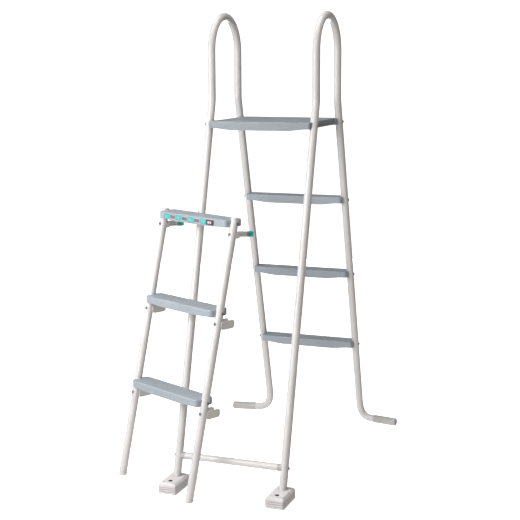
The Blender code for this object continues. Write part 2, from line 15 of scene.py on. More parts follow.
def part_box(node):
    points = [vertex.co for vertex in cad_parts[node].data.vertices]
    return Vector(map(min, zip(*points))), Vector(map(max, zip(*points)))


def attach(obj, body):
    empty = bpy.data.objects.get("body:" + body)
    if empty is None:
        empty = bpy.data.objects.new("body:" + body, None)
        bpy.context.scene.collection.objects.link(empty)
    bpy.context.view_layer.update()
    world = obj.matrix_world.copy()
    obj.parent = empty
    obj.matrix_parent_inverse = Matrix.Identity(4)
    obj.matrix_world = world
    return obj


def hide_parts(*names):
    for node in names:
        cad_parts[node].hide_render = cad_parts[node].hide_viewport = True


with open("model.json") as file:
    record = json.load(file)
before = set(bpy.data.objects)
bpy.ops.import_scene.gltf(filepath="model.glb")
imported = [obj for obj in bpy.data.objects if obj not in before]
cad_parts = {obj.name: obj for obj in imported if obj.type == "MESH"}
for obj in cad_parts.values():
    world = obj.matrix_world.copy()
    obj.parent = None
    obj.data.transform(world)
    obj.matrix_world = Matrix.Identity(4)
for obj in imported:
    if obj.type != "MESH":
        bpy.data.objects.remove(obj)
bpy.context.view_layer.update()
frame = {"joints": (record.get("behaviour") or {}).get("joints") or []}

SIDES = (("left", -1), ("right", 1))
LADDER_BODY = "lift_off_ladder"
FIT_GAP = 0.0003
SMOOTH_ANGLE = radians(32)

# Tubes
TUBE_R = 0.014
TUBE_WALL = 0.0015
TUBE_SIDES = 48
SMALL_SIDES = 32

# A-frame
HALF_WIDTH = 0.196
HANDRAIL_R = 0.125
HANDRAIL_TOP = 1.6234
ELBOW_Z = 1.327
ELBOW_R = 0.10
SPLAY = radians(15.1)
JOINT_Z = 1.19
NECK_LENGTH = 0.034

# Platform and steps
PLATFORM_TOP = 1.2545
PLATFORM_HALF_DEPTH = 0.1745
LEVELS = ("lower", "middle", "upper")
STEP_TOPS = (0.3545, 0.6545, 0.9545)
STEP_FRONT = 0.0325
STEP_BACK = 0.0375
SLAB_CORNER = 0.010
SLAB_EDGE = 0.004
SKIRT_END = 0.024
SKIRT_MIDDLE = 0.031
BELLY_RUN = 0.085
TOP_SKIN = 0.004
BOLT_DROP = 0.0125
WAIST_HALF = 0.120
WAIST_DEPTH = 0.013
LIP_DEPTH = 0.009
LIP_HEIGHT = 0.009
SLAB_END_SETBACK = 0.002
OUTER_WALL = 0.0035
RIB = 0.0025
POCKET_END = 0.024
POCKET_DRAFT = 0.0006

# Crossbar between the outer legs
CROSSBAR_R = 0.012
CROSSBAR_Z = 0.107
CROSSBAR_HALF = 0.172
SADDLE_LENGTH = 0.017

# Foot blocks
BLOCK_HALF_WIDTH = 0.034
BLOCK_FRONT = -0.562
BLOCK_BACK = -0.437
BLOCK_HEIGHT = 0.038
BLOCK_HOLE_Y = -0.530
BLOCK_HOLE_R = 0.0065
BLOCK_HOLE_FLOOR = 0.006
BLOCK_CORNER = 0.006
GROOVES = (0.0075, 0.0150, 0.0225)
GROOVE_HEIGHT = 0.0026
GROOVE_DEPTH = 0.0034
SHOULDER_Z = 0.0320
LEG_END_Z = 0.0125

# Pool feet
FOOT_TURN = radians(10.0)
FOOT_REACH = 0.163
FOOT_Y = 0.469
FOOT_BEND_Z = 0.085
FOOT_LANDING = 0.053
FOOT_CURVE = 0.042
CAP_R = 0.0152
CAP_LENGTH = 0.098
CAP_TIP = 0.012
CAP_DOME = 0.006

# Lift-off ladder, in its own frame: x across, y away from its user, z up
LADDER_LEAN = radians(13.19)
RAIL_HALF = 0.1854
RAIL_TOP_Z = 0.941
RAIL_FOOT_Z = 0.012
RUNG_TOPS = (0.3431, 0.6410, 0.9389)
RUNG_FRONT = 0.036
RUNG_BACK = 0.041
RUNG_CORNER = 0.014
RUNG_SKIRT = 0.028
RUNG_END_SETBACK = 0.003
BRACKET_DROP = 0.047

# Guides and latch arms
BRACKET_FRONT = 0.003
GUIDE_HALF_HEIGHT = 0.0145
GUIDE_HALF_WIDTH = 0.0168
GUIDE_CORNER = 0.010
GUIDE_REACH = 0.062
GUIDE_EDGE = 0.0007
PANEL_DEPTH = 0.0006
PANEL_BORDER = 0.0022
MOUTH_START = 0.023
MOUTH_R = TUBE_R + FIT_GAP
ARM_ROOT_END = 0.0205
ARM_ROOT_HALF = 0.0150
ARM_HALF = 0.0072
ARM_CHANNEL = 0.0016
TONGUE_R = 0.0068
TONGUE_HALF = 0.0030
LATCH_PIN = 0.071
LATCH_R = 0.009
LATCH_END = 0.092
SLOT_HALF = 0.0036
PIN_R = 0.002
PIN_HEAD_R = 0.0030

# Bolts, and the lengths of the shanks and of the holes that they pass through
SHANK_R = 0.003
HEAD_R = 0.0052
HEAD_HEIGHT = 0.0034
SOCKET_R = 0.0021
STEP_BOLT = 0.046
CROSSBAR_BOLT = 0.052
BRACKET_BOLT = 0.0345
TUBE_HOLE = 0.034
STEP_HOLE = 0.048
BRACKET_HOLE = 0.060
CROSSBAR_HOLE = 0.070

# Label strip on the lift-off ladder's top step
LABEL_LEFT = -0.150
LABEL_HALF_HEIGHT = 0.0087
LABEL_DROP = 0.0143
LABEL_THICK = 0.0006
PRINT_STEP = 0.00008
TURQUOISE_WIDE, GREY_WIDE, DARK_WIDE = 0.0335, 0.0320, 0.0390

# Studio floor
FLOOR_FLAT, FLOOR_CURVE, WALL_TOP, FLOOR_SIDES = 6.0, 3.0, 9.0, 96
FLOOR_GLOW, WALL_GLOW = 0.80, 1.0
GLOW_START, GLOW_END = 1.2, 4.0

# Lamps: name, place and aim from the a-frame's ground centre, size, power
LAMPS = (
    ("key", (-1.85, -3.75, 2.3), (0, 0, 0.8), 1.8, 81),
    ("near_left", (-0.85, -1.35, 1.2), (-0.15, -0.4, 0.0), 1.0, 16),
    ("overhead", (0.0, -0.4, 3.4), (0, 0, 0.8), 2.5, 50),
    ("back_fill", (-1.4, 3.8, -0.6), (0, 0, 0.8), 2.0, 75),
    ("floor_bounce", (0.3, -0.8, -0.5), (0.3, -0.8, 0.0), 4.0, 42),
)

# Room light: brightest towards one side
SKY_TOWARDS = (-0.85, -0.50, 0.15)
SKY_START, SKY_END = -0.35, 0.75
SKY_DARK, SKY_BRIGHT = (0.21, 0.196, 0.182), (0.38, 0.38, 0.385)

# Camera, from the a-frame's ground centre
CAMERA_AT = (1.4589, -3.9920, 1.4781)
CAMERA_YAW, CAMERA_PITCH, CAMERA_ROLL = radians(-20.867), radians(-9.907), radians(-0.292)
CAMERA_LENS = 80.5
CAMERA_SENSOR = 36.0


def ground_centre():
    """The a-frame's ground centre: the platform lies over it."""
    low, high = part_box("platform")
    return Vector(((low.x + high.x) / 2, (low.y + high.y) / 2, 0.0))


def ladder_place():
    """The lift-off ladder's frame, worked out from its two latch hinges."""
    hinges = {joint["name"]: joint for joint in frame["joints"]}
    left = Vector(hinges["left_latch_swing"]["pos_m"])
    right = Vector(hinges["right_latch_swing"]["pos_m"])
    turn = atan2(right.y - left.y, right.x - left.x)
    along = bracket_origin(0, RUNG_TOPS[2]).y + LATCH_PIN
    middle = (left + right) / 2
    at = Vector((middle.x + along * sin(turn), middle.y - along * cos(turn), 0.0))
    return Matrix.Translation(at) @ Matrix.Rotation(turn, 4, "Z")


# -------- mesh tools

def arc(centre, radius, start, end, steps):
    """Points (a, b) on a circle from angle start to angle end."""
    angles = [start + (end - start) * k / steps for k in range(steps + 1)]
    return [(centre[0] + radius * cos(a), centre[1] + radius * sin(a)) for a in angles]


def quarter_turn(steps, first=1):
    """Angles of a quarter turn in equal steps."""
    return [k / steps * pi / 2 for k in range(first, steps + 1)]


def smooth(value):
    """Eases a value from 0 to 1."""
    value = min(max(value, 0.0), 1.0)
    return value * value * (3 - 2 * value)


def mesh_of(name, bodies):
    """One mesh from bodies, each a chain of equal rings; the pair says if it closes on itself."""
    bm = bmesh.new()
    for index, (rings, closed) in enumerate(bodies):
        loops = [[bm.verts.new(point) for point in ring] for ring in rings]
        pairs = list(zip(loops, loops[1:]))
        faces = []
        if closed:
            pairs.append((loops[-1], loops[0]))
        else:
            faces += [bm.faces.new(loops[0]), bm.faces.new(loops[-1])]
        for low, high in pairs:
            for i in range(len(low)):
                j = (i + 1) % len(low)
                faces.append(bm.faces.new((low[i], low[j], high[j], high[i])))
        for face in faces:
            face.material_index = index
    bmesh.ops.recalc_face_normals(bm, faces=bm.faces)
    mesh = bpy.data.meshes.new(name)
    bm.to_mesh(mesh)
    bm.free()
    return mesh


def new_object(name, mesh, place):
    obj = bpy.data.objects.new(name, mesh)
    bpy.context.scene.collection.objects.link(obj)
    obj.matrix_world = place
    return obj


def apply_cuts(obj, cuts):
    """Cuts each group of closed bodies out of the object and keeps the result as its mesh."""
    cutters = []
    for index, group in enumerate(cuts):
        cutter = new_object(f"cutter_{index}", mesh_of("cutter", group), obj.matrix_world)
        boolean = obj.modifiers.new(f"cut_{index}", "BOOLEAN")
        boolean.operation = "DIFFERENCE"
        boolean.solver = "EXACT"
        boolean.object = cutter
        cutters.append(cutter)
    bpy.context.view_layer.update()
    graph = bpy.context.evaluated_depsgraph_get()
    carved = bpy.data.meshes.new_from_object(obj.evaluated_get(graph))
    obj.modifiers.clear()
    obj.data = carved
    for cutter in cutters:
        bpy.data.objects.remove(cutter)


def piece(node, bodies, finish, body, place, cuts=()):
    """A fine piece that stands for one CAD node and rides on its body."""
    obj = new_object(f"{node}_fine", mesh_of(node, bodies), place)
    if cuts:
        apply_cuts(obj, cuts)
    mesh = obj.data
    mesh.transform(place)
    obj.matrix_world = Matrix.Identity(4)
    mesh.materials.clear()
    mesh.materials.append(finish["material"])
    mesh.polygons.foreach_set("material_index", [0] * len(mesh.polygons))
    mesh.shade_smooth()
    mesh.set_sharp_from_angle(angle=SMOOTH_ANGLE)
    even = obj.modifiers.new("even_normals", "WEIGHTED_NORMAL")
    even.keep_sharp = True
    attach(obj, body)
    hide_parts(node)
    return obj


def rings_along(path, radius, sides):
    """Round rings on a path, carried along it without twisting. Radius may be one per point."""
    points = [Vector(point) for point in path]
    radii = radius if isinstance(radius, (list, tuple)) else [radius] * len(points)
    heading = (points[1] - points[0]).normalized()
    guide = Vector((0, 0, 1)) if abs(heading.x) > 0.9 else Vector((1, 0, 0))
    side = (guide - guide.dot(heading) * heading).normalized()
    rings = []
    for i, point in enumerate(points):
        before = points[max(i - 1, 0)]
        after = points[min(i + 1, len(points) - 1)]
        turned_heading = (after - before).normalized()
        side = heading.rotation_difference(turned_heading) @ side
        heading = turned_heading
        other = heading.cross(side)
        angles = [2 * pi * k / sides for k in range(sides)]
        rings.append([point + radii[i] * (cos(a) * side + sin(a) * other) for a in angles])
    return rings


def tube(path, radius=TUBE_R):
    """Hollow tube with eased ends."""
    ease = 0.0004
    start = path[0] + ease * (path[1] - path[0]).normalized()
    end = path[-1] + ease * (path[-2] - path[-1]).normalized()
    eased = [path[0], start, *path[1:-1], end, path[-1]]
    radii = [radius - ease] + [radius] * (len(eased) - 2) + [radius - ease]
    outer = rings_along(eased, radii, TUBE_SIDES)
    inner = rings_along(path, radius - TUBE_WALL, TUBE_SIDES)
    return outer + inner[::-1], True


def necked_tube(path):
    """Tube whose first end is swaged down to slide inside the tube above it."""
    neck_r = TUBE_R - TUBE_WALL - FIT_GAP
    up = (path[0] - path[1]).normalized()
    neck_end = path[0] + NECK_LENGTH * up
    shoulder = path[0] - 2 * TUBE_WALL * up
    swage = path[0] - 0.0008 * up
    outer_neck = rings_along((neck_end, path[0]), neck_r, TUBE_SIDES)
    inner_neck = rings_along((shoulder, neck_end), neck_r - TUBE_WALL, TUBE_SIDES)
    radii = [TUBE_R - 0.0006] + [TUBE_R] * len(path[1:]) + [TUBE_R]
    outer = rings_along((path[0], swage, *path[1:]), radii, TUBE_SIDES)
    inner = rings_along((shoulder, *path[1:]), TUBE_R - TUBE_WALL, TUBE_SIDES)
    return outer_neck + outer + inner[::-1] + inner_neck, True


def rod(start, end, radius, sides=TUBE_SIDES):
    return rings_along((start, end), radius, sides), False


def turned(at, heading, profile, sides=TUBE_SIDES):
    """A turned body: profile pairs are (distance along the heading, radius)."""
    at = Vector(at)
    heading = Vector(heading).normalized()
    rings = []
    for distance, radius in profile:
        centre = at + distance * heading
        rings += rings_along((centre, centre + heading), radius, sides)[:1]
    return rings, False


def block(low, high):
    (x0, y0, z0), (x1, y1, z1) = low, high
    ring = [(x0, y0), (x1, y0), (x1, y1), (x0, y1)]
    return [[(x, y, z) for x, y in ring] for z in (z0, z1)], False


def rounded_rectangle(low, high, corner, steps=6):
    """Outline points (a, b) of a rectangle with round corners."""
    (a0, b0), (a1, b1) = low, high
    points = arc((a1 - corner, b1 - corner), corner, 0.0, pi / 2, steps)
    points += arc((a0 + corner, b1 - corner), corner, pi / 2, pi, steps)
    points += arc((a0 + corner, b0 + corner), corner, pi, 1.5 * pi, steps)
    points += arc((a1 - corner, b0 + corner), corner, 1.5 * pi, 2 * pi, steps)
    return points


def panelled_plate(low, high, corner, thick, edge, panel, border):
    """Plate across x with eased edges, and a sunk panel inside a border on both faces."""
    levels = [(thick - panel, border + panel), (thick - 0.3 * panel, border + 0.2 * panel),
              (thick, edge + 0.97 * (border - edge))]
    levels += [(thick - edge + edge * cos(a), edge - edge * sin(a)) for a in quarter_turn(4, 0)]
    (a0, b0), (a1, b1) = low, high
    rings = []
    for x, inset in levels + [(-x, inset) for x, inset in reversed(levels)]:
        keep = max(corner - inset, 0.0006)
        outline = rounded_rectangle((a0 + inset, b0 + inset), (a1 - inset, b1 - inset), keep)
        rings.append([(x, a, b) for a, b in outline])
    return rings, False


# -------- finishes

def link(tree, source, target):
    tree.links.new(source, target)


def in_slot(slot, material):
    """A finish: a material, and the name of the record's slot that it is meant for; the pieces read
    only the material.
    """
    return {"slot": slot, "material": material}


def noise(tree, coordinates, scale, detail=2.0, stretch=None):
    texture = tree.nodes.new("ShaderNodeTexNoise")
    texture.inputs["Scale"].default_value = scale
    texture.inputs["Detail"].default_value = detail
    if stretch:
        mapping = tree.nodes.new("ShaderNodeMapping")
        mapping.inputs["Scale"].default_value = stretch
        link(tree, coordinates, mapping.inputs["Vector"])
        coordinates = mapping.outputs["Vector"]
    link(tree, coordinates, texture.inputs["Vector"])
    return texture.outputs["Fac"]


def ramp(tree, value, stops):
    """Colour from two stops, each a position and a colour."""
    node = tree.nodes.new("ShaderNodeValToRGB")
    for element, (position, colour) in zip(node.color_ramp.elements, stops):
        element.position, element.color = position, (*colour, 1.0)
    link(tree, value, node.inputs["Fac"])
    return node.outputs["Color"]


def remap(tree, value, low, high, start=0.3, end=0.7):
    """Low below start, high above end, and in between in proportion."""
    node = tree.nodes.new("ShaderNodeMapRange")
    node.inputs["From Min"].default_value = start
    node.inputs["From Max"].default_value = end
    node.inputs["To Min"].default_value = low
    node.inputs["To Max"].default_value = high
    link(tree, value, node.inputs["Value"])
    return node.outputs["Result"]


def blend_colour(tree, factor, first, second):
    node = tree.nodes.new("ShaderNodeMix")
    node.data_type = "RGBA"
    link(tree, factor, node.inputs["Factor"])
    link(tree, first, node.inputs["A"])
    node.inputs["B"].default_value = (*second, 1.0)
    return node.outputs["Result"]


def bump(tree, height, distance, under=None):
    node = tree.nodes.new("ShaderNodeBump")
    node.inputs["Strength"].default_value = 1.0
    node.inputs["Distance"].default_value = distance
    link(tree, height, node.inputs["Height"])
    if under is not None:
        link(tree, under, node.inputs["Normal"])
    return node.outputs["Normal"]


def start_material(name, metallic=0.0, coat=0.0, coat_roughness=0.1, specular=0.5):
    material = bpy.data.materials.new(name)
    material.use_nodes = True
    tree = material.node_tree
    shader = tree.nodes["Principled BSDF"]
    shader.inputs["Metallic"].default_value = metallic
    shader.inputs["Coat Weight"].default_value = coat
    shader.inputs["Coat Roughness"].default_value = coat_roughness
    shader.inputs["Specular IOR Level"].default_value = specular
    coordinates = tree.nodes.new("ShaderNodeTexCoord").outputs["Object"]
    return material, tree, shader, coordinates


def powder_coat():
    """Cream-white powder coat: soft cloudy tone, orange-peel skin, fine flecks."""
    material, tree, shader, at = start_material("cream_powder_coat", coat=0.12, coat_roughness=0.25)
    cloud = noise(tree, at, scale=9.0, detail=3.0)
    tone = ramp(tree, cloud, [(0.30, (0.575, 0.558, 0.549)), (0.70, (0.62, 0.603, 0.594))])
    specks = noise(tree, at, scale=900.0, detail=1.0)
    share = remap(tree, specks, low=0.0, high=0.25, start=0.62, end=0.75)
    link(tree, blend_colour(tree, share, tone, (0.48, 0.455, 0.44)), shader.inputs["Base Color"])
    rub = remap(tree, noise(tree, at, scale=60.0), low=0.30, high=0.44)
    link(tree, rub, shader.inputs["Roughness"])
    peel = bump(tree, noise(tree, at, scale=420.0, detail=1.0), distance=0.00016)
    skin = bump(tree, noise(tree, at, scale=2600.0), distance=0.00003, under=peel)
    link(tree, skin, shader.inputs["Normal"])
    return material


def moulded_plastic(name, dark, light, fleck, roughness, grain, depth, flow=(1, 1, 1)):
    """Moulded plastic: flow-marked tone, pigment flecks, leathery mould grain.

    Grain is the pebbles' scale and depth their height in metres; flow stretches the tone.
    """
    material, tree, shader, at = start_material(name, specular=0.45)
    marks = noise(tree, at, scale=14.0, detail=4.0, stretch=flow)
    tone = ramp(tree, marks, [(0.28, dark), (0.72, light)])
    specks = noise(tree, at, scale=1500.0, detail=1.0)
    share = remap(tree, specks, low=0.0, high=0.35, start=0.60, end=0.78)
    link(tree, blend_colour(tree, share, tone, fleck), shader.inputs["Base Color"])
    low, high = roughness
    rub = remap(tree, noise(tree, at, scale=45.0, detail=3.0), low, high)
    link(tree, rub, shader.inputs["Roughness"])
    cells = tree.nodes.new("ShaderNodeTexVoronoi")
    cells.feature = "SMOOTH_F1"
    cells.inputs["Scale"].default_value = grain
    link(tree, at, cells.inputs["Vector"])
    pebbles = bump(tree, cells.outputs["Distance"], depth)
    fine = bump(tree, noise(tree, at, scale=grain * 3.1), distance=depth * 0.35, under=pebbles)
    link(tree, fine, shader.inputs["Normal"])
    return material


def gloss_plastic(name, dark, light):
    """Gloss plastic with faint flow marks and a slightly wavy skin."""
    material, tree, shader, at = start_material(name, coat=0.5, coat_roughness=0.06)
    marks = noise(tree, at, scale=70.0, detail=3.0, stretch=(1, 0.4, 1))
    link(tree, ramp(tree, marks, [(0.30, dark), (0.70, light)]), shader.inputs["Base Color"])
    rub = remap(tree, noise(tree, at, scale=220.0), low=0.20, high=0.32)
    link(tree, rub, shader.inputs["Roughness"])
    wave = bump(tree, noise(tree, at, scale=350.0, detail=1.0), distance=0.00006)
    link(tree, wave, shader.inputs["Normal"])
    return material


def dark_steel():
    """Plated steel: mottled tone and gloss, finely drawn skin."""
    material, tree, shader, at = start_material("dark_plated_steel", metallic=0.85)
    mottle = noise(tree, at, scale=650.0, detail=4.0)
    tone = ramp(tree, mottle, [(0.3, (0.17, 0.155, 0.145)), (0.7, (0.30, 0.275, 0.26))])
    link(tree, tone, shader.inputs["Base Color"])
    rub = remap(tree, noise(tree, at, scale=900.0), low=0.28, high=0.52)
    link(tree, rub, shader.inputs["Roughness"])
    drawn = bump(tree, noise(tree, at, scale=1800.0, stretch=(1, 1, 0.1)), distance=0.00005)
    link(tree, drawn, shader.inputs["Normal"])
    return material


def printed_film(name, dark, light, scale=160.0):
    """Printed label film: slight ink mottle under a satin skin."""
    material, tree, shader, at = start_material(name, coat=0.3, coat_roughness=0.15)
    mottle = noise(tree, at, scale, detail=3.0)
    link(tree, ramp(tree, mottle, [(0.35, dark), (0.65, light)]), shader.inputs["Base Color"])
    rub = remap(tree, noise(tree, at, scale=300.0), low=0.30, high=0.42)
    link(tree, rub, shader.inputs["Roughness"])
    skin = bump(tree, noise(tree, at, scale=1200.0, detail=1.0), distance=0.00002)
    link(tree, skin, shader.inputs["Normal"])
    return material


# -------- shared geometry

def leg_y(z):
    """Distance of a splayed leg's centre line from the middle plane at a height."""
    return HANDRAIL_R + (ELBOW_Z - z) * tan(SPLAY)


def leg_point(side, face, z):
    return Vector((side * HALF_WIDTH, face * leg_y(z), z))


def rail_point(side, z):
    """A point on a lift-off rail's centre line, in the lift-off ladder's frame."""
    return Vector((side * RAIL_HALF, z * tan(LADDER_LEAN), z))


def bracket_origin(side, top):
    """Where the bracket's level centre line crosses the rail's centre line."""
    return rail_point(side, top - BRACKET_DROP - 2 * TUBE_R * sin(LADDER_LEAN))


def handrail_path(side):
    elbow_z = ELBOW_Z + ELBOW_R * tan(SPLAY / 2)
    elbow = arc((-HANDRAIL_R - ELBOW_R, elbow_z), ELBOW_R, -SPLAY, 0.0, 10)
    crown = arc((0.0, HANDRAIL_TOP - HANDRAIL_R), HANDRAIL_R, pi, 0.0, 56)
    outer = [(-leg_y(JOINT_Z), JOINT_Z)] + elbow
    pool = [(-y, z) for y, z in reversed(outer)]
    return [Vector((side * HALF_WIDTH, y, z)) for y, z in outer + crown + pool]


def pool_leg_path(side):
    """Straight splayed leg, a curve near the ground, then a foot lying outwards."""
    start = leg_point(side, 1, JOINT_Z - FIT_GAP)
    bend = leg_point(side, 1, FOOT_BEND_Z)
    down = (bend - start).normalized()
    out = Vector((side * cos(FOOT_TURN), -sin(FOOT_TURN), 0.0))
    corner = Vector((side * HALF_WIDTH, FOOT_Y, CAP_R))
    landing = corner + FOOT_LANDING * out
    path = [start]
    for k in range(31):
        t = k / 30
        path.append((1 - t) ** 3 * bend + 3 * (1 - t) ** 2 * t * (bend + FOOT_CURVE * down)
                    + 3 * (1 - t) * t ** 2 * (landing - FOOT_CURVE * out) + t ** 3 * landing)
    path.append(corner + (FOOT_REACH - CAP_TIP - FIT_GAP) * out)
    return path, corner + (FOOT_REACH - CAP_LENGTH) * out, out


def slab_section(x, front, back, top, skirt):
    """Cross-section of a moulded slab: flat underside, upright faces, round edges."""
    low, foot, edge = top - skirt, 0.0009, SLAB_EDGE
    points = arc((front + foot, low + foot), foot, 1.5 * pi, pi, 3)
    points += arc((front + edge, top - edge), edge, pi, pi / 2, 8)
    points += arc((back - edge, top - edge), edge, pi / 2, 0.0, 8)
    points += arc((back - foot, low + foot), foot, 0.0, -pi / 2, 3)
    return [(x, y, z) for y, z in points]


def slab(half, front, back, top, corner, skirt_middle=SKIRT_MIDDLE):
    """Moulded slab lofted across its width: round corners in plan, skirt deeper in the middle."""
    ease, belly_steps = 0.0024, 16
    # Each station: x, how far the faces pull in, share of the belly, how far the top drops.
    stations = []
    for a in quarter_turn(5, 0):
        rise = ease * (1 - sin(a))
        stations.append((half - ease + ease * cos(a), corner + rise * 0.6, 0.0, rise))
    for x, y in arc((half - ease - corner, 0.0), corner, 0.0, pi / 2, 12)[1:]:
        stations.append((x, corner - y, 0.0, 0.0))
    for k in range(1, belly_steps + 1):
        x = half - ease - corner - k * BELLY_RUN / belly_steps
        stations.append((x, 0.0, smooth(k / belly_steps), 0.0))
    sections = []
    for x, pull, belly, drop in stations:
        skirt = SKIRT_END + (skirt_middle - SKIRT_END) * belly
        sections.append((x, front + pull, back - pull, top - drop, skirt - drop))
    left = [slab_section(-s[0], *s[1:]) for s in sections]
    right = [slab_section(*s) for s in reversed(sections)]
    return left + right, False


def pockets(half, front, back, top, columns, rows):
    """Drafted spaces between the ribs under a slab."""
    width = 2 * half / columns
    depth = (back - front - 2 * OUTER_WALL + RIB) / rows
    levels = ((top - 0.05, 0.0), (top - SKIRT_END, 0.0), (top - TOP_SKIN - 0.001, POCKET_DRAFT),
              (top - TOP_SKIN, POCKET_DRAFT + 0.001))
    bodies = []
    for column in range(columns):
        for row in range(rows):
            x0 = -half + column * width + RIB / 2
            y0 = front + OUTER_WALL + row * depth
            x1, y1 = x0 + width - RIB, y0 + depth - RIB
            rings = []
            for z, inset in levels:
                low, high = (x0 + inset, y0 + inset), (x1 - inset, y1 - inset)
                outline = rounded_rectangle(low, high, 0.002, 3)
                rings.append([(x, y, z) for x, y in outline])
            bodies.append((rings, False))
    return bodies


def waist_cutter(side, x, depth, low, high):
    """Long shallow scoop that draws a platform side in between its tubes."""
    round_r = min(0.012, depth * 0.9)
    points = arc((0.0, -WAIST_HALF + round_r), round_r, -pi / 2, 0.0, 12)
    points += arc((0.0, WAIST_HALF - round_r), round_r, 0.0, pi / 2, 12)
    ring = [(x - side * (depth - round_r + a), b) for a, b in points]
    ring += [(x + side * 0.02, WAIST_HALF), (x + side * 0.02, -WAIST_HALF)]
    return [[(a, b, z) for a, b in ring] for z in (low, high)], False


def tube_notches(top, faces):
    """Cutters that seat a slab's ends against the splayed tubes."""
    return [rod(leg_point(side, face, top + 0.02), leg_point(side, face, top - 0.06), TUBE_R + FIT_GAP)
            for side in (-1, 1) for face in faces]


def bolt(at, heading, length):
    """Pan-head socket bolt whose head seats at the point and whose shank runs along the heading."""
    at, heading = Vector(at), Vector(heading).normalized()
    hexagon = [1 / cos((2 * pi * k / SMALL_SIDES + pi / 6) % (pi / 3) - pi / 6)
               for k in range(SMALL_SIDES)]
    rim, flange, ease = SOCKET_R * 1.22, 0.0008, 0.0006
    socket = [(-0.0016, SOCKET_R * 0.9), (-0.0017, SOCKET_R), (-0.00325, SOCKET_R)]
    head = [(-HEAD_HEIGHT, rim)]
    head += [(-flange - (HEAD_HEIGHT - flange) * cos(a), rim + (HEAD_R - rim) * sin(a))
             for a in quarter_turn(8)]
    head += [(-0.0002, HEAD_R), (0.0, HEAD_R - 0.0003)]
    shank = [(0.0, SHANK_R), (length - ease, SHANK_R), (length, SHANK_R - ease)]
    rings = []
    for index, (distance, radius) in enumerate(socket + head + shank):
        centre = at + distance * heading
        ring = rings_along((centre, centre + heading), radius, SMALL_SIDES)[0]
        if index < len(socket):
            ring = [centre + (point - centre) * hexagon[k] for k, point in enumerate(ring)]
        rings.append(ring)
    return rings, False


def bolt_hole(at, heading, length):
    at = Vector(at)
    heading = Vector(heading).normalized()
    return rod(at - 0.002 * heading, at + length * heading, SHANK_R + FIT_GAP, SMALL_SIDES)


def side_bolt(point, side, length):
    """Bolt from outside a tube, straight across into what the tube carries."""
    at = Vector(point)
    at.x += side * (TUBE_R + FIT_GAP)
    return at, Vector((-side, 0, 0)), length


def platform_bolt(side, face):
    return side_bolt(leg_point(side, face, PLATFORM_TOP - BOLT_DROP), side, STEP_BOLT)


def step_bolt(side, top):
    return side_bolt(leg_point(side, 1, top - BOLT_DROP), side, STEP_BOLT)


def crossbar_bolt(side):
    return side_bolt(leg_point(side, -1, CROSSBAR_Z), side, CROSSBAR_BOLT)


def rung_bolt(side, top):
    return side_bolt(rail_point(side, top - BOLT_DROP), side, STEP_BOLT)


def bracket_bolt(side, top):
    """Bolt from the front of a rail, square to it, into the bracket behind."""
    back = Vector((0, cos(LADDER_LEAN), -sin(LADDER_LEAN)))
    at = rail_point(side, top - BRACKET_DROP - TUBE_R * sin(LADDER_LEAN))
    return at - (TUBE_R + FIT_GAP) * back, back, BRACKET_BOLT


def holes(bolts, length):
    return [bolt_hole(at, heading, length) for at, heading, _ in bolts]


# -------- a-frame

def build_tubes(place, coat):
    for label, side in SIDES:
        bolts = [platform_bolt(side, face) for face in (-1, 1)]
        piece(f"{label}_handrail", [tube(handrail_path(side))], coat, "a_frame", place,
              [holes(bolts, TUBE_HOLE)])
        ends = leg_point(side, -1, JOINT_Z - FIT_GAP), leg_point(side, -1, LEG_END_Z)
        piece(f"{label}_outer_leg", [necked_tube(ends)], coat, "a_frame", place,
              [holes([crossbar_bolt(side)], TUBE_HOLE)])
        path = pool_leg_path(side)[0]
        bolts = [step_bolt(side, top) for top in STEP_TOPS]
        piece(f"{label}_pool_leg", [necked_tube(path)], coat, "a_frame", place,
              [holes(bolts, TUBE_HOLE)])


def build_platform(place, plastic):
    half, depth, top = HALF_WIDTH - SLAB_END_SETBACK, PLATFORM_HALF_DEPTH, PLATFORM_TOP
    low, lip, high = top - 0.06, top - LIP_HEIGHT, top + 0.02
    lips = [waist_cutter(side, side * half, LIP_DEPTH, low, high) for side in (-1, 1)]
    waists = [waist_cutter(side, side * half, WAIST_DEPTH, low, lip) for side in (-1, 1)]
    bolts = [platform_bolt(side, face) for side in (-1, 1) for face in (-1, 1)]
    piece("platform", [slab(half, -depth, depth, top, SLAB_CORNER)], plastic, "a_frame", place,
          [lips, waists, pockets(half - POCKET_END, -depth, depth, top, 4, 3),
           tube_notches(top, (-1, 1)), holes(bolts, STEP_HOLE)])


def build_pool_steps(place, plastic):
    half = HALF_WIDTH - SLAB_END_SETBACK
    for label, top in zip(LEVELS, STEP_TOPS):
        front, back = leg_y(top) - STEP_FRONT, leg_y(top) + STEP_BACK
        bolts = [step_bolt(side, top) for side in (-1, 1)]
        piece(f"{label}_pool_step", [slab(half, front, back, top, SLAB_CORNER)], plastic, "a_frame",
              place, [pockets(half - POCKET_END, front, back, top, 6, 1), tube_notches(top, (1,)),
                      holes(bolts, STEP_HOLE)])


